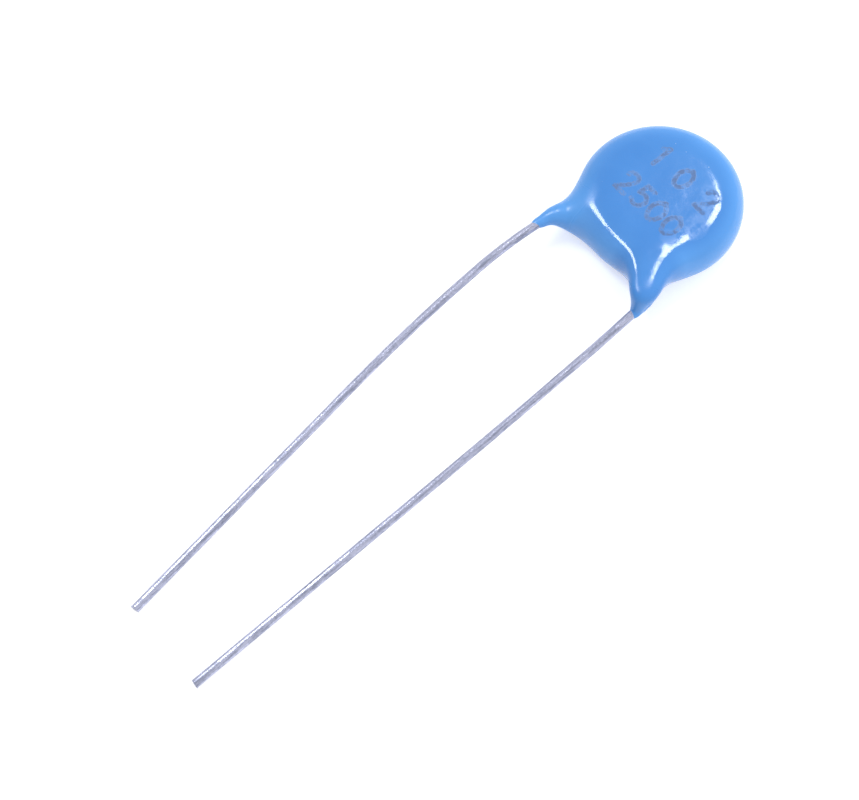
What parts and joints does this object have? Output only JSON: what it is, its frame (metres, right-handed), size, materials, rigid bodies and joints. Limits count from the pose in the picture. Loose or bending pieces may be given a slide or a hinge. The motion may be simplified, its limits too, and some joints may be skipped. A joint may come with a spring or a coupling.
{
  "type": "ceramic disc capacitor",
  "caption": "Radial leaded ceramic disc capacitor: round epoxy dipped body with run-down necks on long, gently bent wire leads.",
  "frame": {"origin": "centre of the flat of the back face, under the axis of the ceramic disc", "axes": "+X across the leads towards the front lead, +Y from the leads towards the top of the disc, +Z the normal of the front face"},
  "size_m": [0.0092, 0.0417, 0.0031],
  "materials": {
    "epoxy": "glossy dipped epoxy",
    "tinned_wire": "drawn wire with a bright tin coat",
    "ceramic": "matt fired ceramic",
    "silver": "matt fired silver",
    "solder": "solidified solder"
  },
  "bodies": {
    "root": {"ceramic_disc": "ceramic", "front_electrode": "silver", "back_electrode": "silver", "front_solder": "solder", "back_solder": "solder", "front_lead": "tinned_wire", "back_lead": "tinned_wire", "epoxy_coating": "epoxy"}
  },
  "joints": []
}
